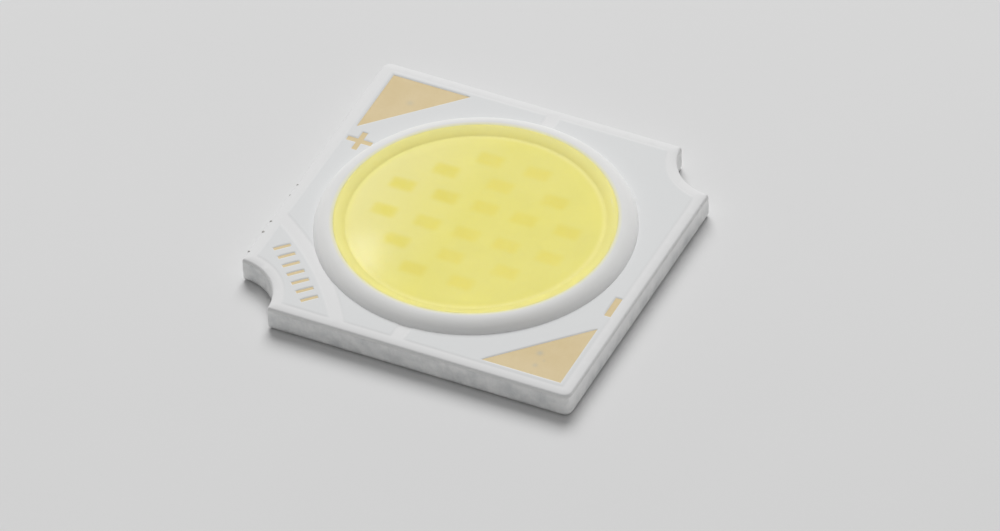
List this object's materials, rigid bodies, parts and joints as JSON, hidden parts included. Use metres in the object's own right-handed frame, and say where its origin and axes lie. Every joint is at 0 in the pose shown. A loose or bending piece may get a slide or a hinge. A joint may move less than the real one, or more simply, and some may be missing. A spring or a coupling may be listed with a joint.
{
  "type": "cob led",
  "caption": "Square chip-on-board LED on an aluminium plate, with a round phosphor-covered light surface in a white dam, two gold solder pads and corner screw notches.",
  "frame": {"origin": "centre of the board's underside", "axes": "+Z the way the light leaves, +X from the plus half to the minus half, +Y to the edge with the plus pad"},
  "size_m": [0.0134, 0.0134, 0.0014],
  "materials": {
    "aluminium": "punched plate, fine mottled satin",
    "dielectric": "dark grey filled resin",
    "copper": "etched copper foil, under the mask",
    "gold_plating": "thin matte gold over nickel",
    "white_mask": "satin white ink",
    "dam_silicone": "satin white silicone",
    "phosphor_silicone": "grainy yellow bed of phosphor settled in silicone",
    "gel_silicone": "smooth, clear silicone with a slight yellow tint",
    "die_bond": "clear silicone adhesive",
    "led_chip": "polished sapphire",
    "bond_wire": "fine gold wire"
  },
  "bodies": {
    "root": {"base_plate": "aluminium", "dielectric_layer": "dielectric", "positive_copper": "copper", "negative_copper": "copper", "marking_copper": "copper", "positive_pad": "gold_plating", "negative_pad": "gold_plating", "plus_mark": "gold_plating", "minus_mark": "gold_plating", "marking_bars": "gold_plating", "solder_mask": "white_mask", "dam_ring": "dam_silicone", "phosphor_bed": "phosphor_silicone", "phosphor_gel": "gel_silicone", "die_bonds": "die_bond", "led_chip_01": "led_chip", "led_chip_02": "led_chip", "led_chip_03": "led_chip", "led_chip_04": "led_chip", "led_chip_05": "led_chip", "led_chip_06": "led_chip", "led_chip_07": "led_chip", "led_chip_08": "led_chip", "led_chip_09": "led_chip", "led_chip_10": "led_chip", "led_chip_11": "led_chip", "led_chip_12": "led_chip", "led_chip_13": "led_chip", "led_chip_14": "led_chip", "led_chip_15": "led_chip", "led_chip_16": "led_chip", "led_chip_17": "led_chip", "led_chip_18": "led_chip", "led_chip_19": "led_chip", "led_chip_20": "led_chip", "bond_wire_01": "bond_wire", "bond_wire_02": "bond_wire", "bond_wire_03": "bond_wire", "bond_wire_04": "bond_wire", "bond_wire_05": "bond_wire", "bond_wire_06": "bond_wire", "bond_wire_07": "bond_wire", "bond_wire_08": "bond_wire", "bond_wire_09": "bond_wire", "bond_wire_10": "bond_wire", "bond_wire_11": "bond_wire", "bond_wire_12": "bond_wire", "bond_wire_13": "bond_wire", "bond_wire_14": "bond_wire", "bond_wire_15": "bond_wire", "bond_wire_16": "bond_wire", "bond_wire_17": "bond_wire", "bond_wire_18": "bond_wire", "bond_wire_19": "bond_wire", "bond_wire_20": "bond_wire", "bond_wire_21": "bond_wire", "bond_wire_22": "bond_wire"}
  },
  "joints": []
}
